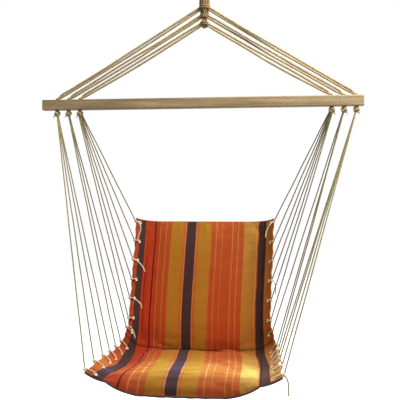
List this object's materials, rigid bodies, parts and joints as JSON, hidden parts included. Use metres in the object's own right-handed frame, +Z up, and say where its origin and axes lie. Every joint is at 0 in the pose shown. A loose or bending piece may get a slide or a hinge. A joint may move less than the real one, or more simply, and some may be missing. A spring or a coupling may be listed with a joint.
{
  "type": "hammock chair",
  "caption": "Hanging hammock chair: a padded striped cloth seat and back laced with cotton strings to a wooden spreader bar, on ropes that gather into one hanging loop.",
  "frame": {"origin": "the point inside the top of the hanging loop that bears on its hook", "axes": "+Z up to the hook, +Y towards the back of the chair, +X along the spreader bar, to the right for someone who faces the chair's front"},
  "size_m": [1.006, 0.5608, 1.252],
  "materials": {
    "cotton_rope": "undyed twisted cotton, matt",
    "wood": "plain planed wood with a thin satin lacquer",
    "striped_cloth": "woven cotton with traditional lengthwise stripes in red, orange, gold and dark brown",
    "rear_cloth": "the same woven striped cotton, on the rear",
    "eyelet_metal": "bright pressed eyelets in the side hems",
    "filling": "white polyester wadding, hidden inside the cover"
  },
  "bodies": {
    "hanger": {"hanging_eye": "cotton_rope"},
    "throat": {"throat_knot": "cotton_rope"},
    "spreader": {"rope_bundle": "cotton_rope", "suspension_rope_left_outer": "cotton_rope", "suspension_rope_left_middle": "cotton_rope", "suspension_rope_left_inner": "cotton_rope", "suspension_rope_right_outer": "cotton_rope", "suspension_rope_right_middle": "cotton_rope", "suspension_rope_right_inner": "cotton_rope", "spreader_bar": "wood"},
    "sling": {"harness_string_left_01": "cotton_rope", "harness_string_left_02": "cotton_rope", "harness_string_left_03": "cotton_rope", "harness_string_left_04": "cotton_rope", "harness_string_left_05": "cotton_rope", "harness_string_left_06": "cotton_rope", "harness_string_left_07": "cotton_rope", "harness_string_left_08": "cotton_rope", "harness_string_left_09": "cotton_rope", "harness_string_left_10": "cotton_rope", "harness_string_left_11": "cotton_rope", "harness_string_left_12": "cotton_rope", "harness_string_left_13": "cotton_rope", "harness_string_right_01": "cotton_rope", "harness_string_right_02": "cotton_rope", "harness_string_right_03": "cotton_rope", "harness_string_right_04": "cotton_rope", "harness_string_right_05": "cotton_rope", "harness_string_right_06": "cotton_rope", "harness_string_right_07": "cotton_rope", "harness_string_right_08": "cotton_rope", "harness_string_right_09": "cotton_rope", "harness_string_right_10": "cotton_rope", "harness_string_right_11": "cotton_rope", "harness_string_right_12": "cotton_rope", "harness_string_right_13": "cotton_rope", "side_hem_left": "striped_cloth", "side_hem_right": "striped_cloth", "front_cloth": "striped_cloth", "rear_cloth": "rear_cloth", "back_padding": "filling", "seat_padding": "filling", "string_tail_left_01": "cotton_rope", "string_tail_left_03": "cotton_rope", "string_tail_left_05": "cotton_rope", "string_tail_left_07": "cotton_rope", "string_tail_right_01": "cotton_rope", "string_tail_right_04": "cotton_rope", "string_tail_right_11": "cotton_rope", "string_tail_right_13": "cotton_rope"}
  },
  "joints": [
    {"name": "chair_twist", "type": "hinge", "parent": "hanger", "child": "throat", "pos_m": [0, 0, -0.076], "axis": [0, 0, 1], "range_deg": [-90, 90], "stiffness_Nm_per_rad": 0.4},
    {"name": "chair_swing", "type": "hinge", "parent": "throat", "child": "spreader", "pos_m": [0, 0, -0.076], "axis": [1, 0, 0], "range_deg": [-30, 30]},
    {"name": "sling_recline", "type": "hinge", "parent": "spreader", "child": "sling", "pos_m": [-0.016, 0, -0.43935], "axis": [1, 0, 0], "range_deg": [-20, 20]}
  ]
}
